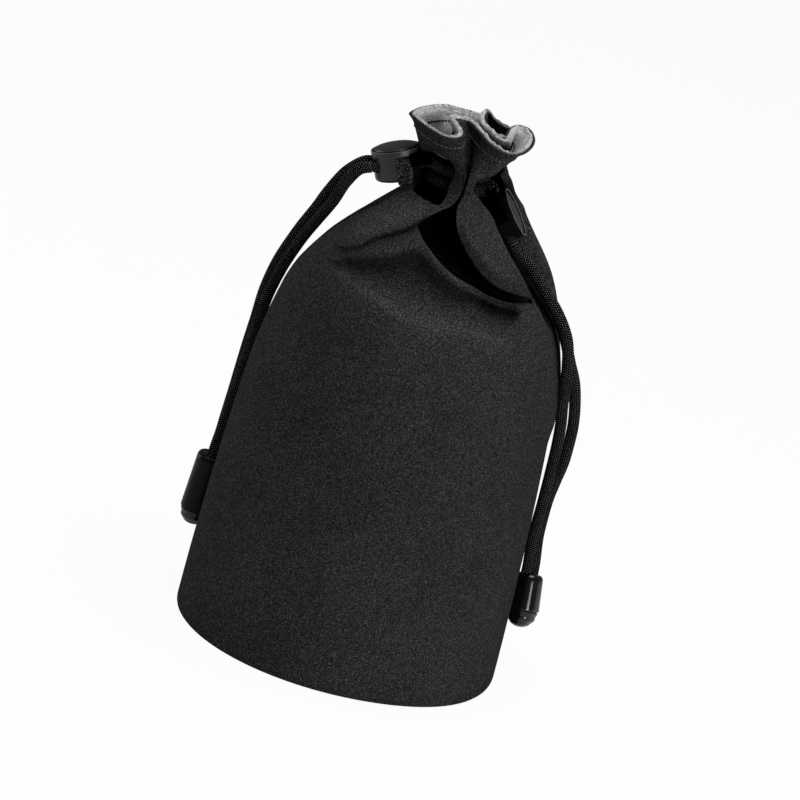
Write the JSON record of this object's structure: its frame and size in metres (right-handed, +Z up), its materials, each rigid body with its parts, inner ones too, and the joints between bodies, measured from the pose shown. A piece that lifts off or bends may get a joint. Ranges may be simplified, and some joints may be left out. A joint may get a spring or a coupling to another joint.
{
  "type": "lens pouch",
  "caption": "Round padded drawstring pouch for a camera lens, with a soft lining, braided drawcords, spring cord locks and moulded cord ends.",
  "frame": {"origin": "middle of the round base, on the surface that the pouch stands on", "axes": "+Z up the pouch to its mouth, -Y to the front of the picture, +X to the right of the picture"},
  "size_m": [0.1235, 0.1062, 0.178],
  "materials": {
    "outer_fabric": "finely speckled matte black woven fabric",
    "lining": "light grey plush",
    "foam": "soft foam sheet",
    "braid": "round black braid",
    "webbing": "flat black webbing",
    "lock_plastic": "satin black moulding",
    "cord_end_plastic": "glossy black moulding",
    "spring_steel": "plain spring wire"
  },
  "bodies": {
    "pouch": {"outer_wall": "outer_fabric", "outer_base": "outer_fabric", "wall_padding": "foam", "base_padding": "foam", "lining_wall": "lining", "lining_base": "lining", "left_neck_cord": "braid", "right_neck_cord": "braid"},
    "left_lock": {"left_lock_housing": "lock_plastic", "left_lock_spring": "spring_steel", "left_lock_tab": "webbing", "left_lock_cord_front": "braid", "left_lock_cord_rear": "braid"},
    "left_button": {"left_lock_button": "lock_plastic"},
    "left_cords": {"left_cord_front": "braid", "left_cord_rear": "braid", "left_cord_end_sleeve": "cord_end_plastic", "left_cord_end_cap": "cord_end_plastic", "left_cord_end_knot": "braid"},
    "right_lock": {"right_lock_housing": "lock_plastic", "right_lock_spring": "spring_steel", "right_lock_tab": "webbing", "right_lock_cord_front": "braid", "right_lock_cord_rear": "braid"},
    "right_button": {"right_lock_button": "lock_plastic"},
    "right_cords": {"right_cord_front": "braid", "right_cord_rear": "braid", "right_cord_end_sleeve": "cord_end_plastic", "right_cord_end_cap": "cord_end_plastic", "right_cord_end_knot": "braid"}
  },
  "joints": [
    {"name": "left_lock_lift", "type": "hinge", "parent": "pouch", "child": "left_lock", "pos_m": [-0.01356, 0, 0.16772], "axis": [0, 1, 0], "range_deg": [0, 30]},
    {"name": "left_button_press", "type": "slide", "parent": "left_lock", "child": "left_button", "axis": [0.3746, 0, -0.9272], "range_m": [0, 0.0014], "stiffness_N_per_m": 300, "springref_m": -0.004, "deforming": ["left_lock_spring"]},
    {"name": "left_cord_swing", "type": "hinge", "parent": "left_lock", "child": "left_cords", "pos_m": [-0.02811, 0, 0.15914], "axis": [0, 1, 0], "range_deg": [0, 40]},
    {"name": "right_lock_lift", "type": "hinge", "parent": "pouch", "child": "right_lock", "pos_m": [0.01561, 0, 0.16088], "axis": [0, -1, 0], "range_deg": [0, 45]},
    {"name": "right_button_press", "type": "slide", "parent": "right_lock", "child": "right_button", "axis": [-0.788, 0, -0.6157], "range_m": [0, 0.0014], "stiffness_N_per_m": 300, "springref_m": -0.004, "deforming": ["right_lock_spring"]},
    {"name": "right_cord_swing", "type": "hinge", "parent": "right_lock", "child": "right_cords", "pos_m": [0.02392, 0, 0.14618], "axis": [0, -1, 0], "range_deg": [0, 40]}
  ]
}
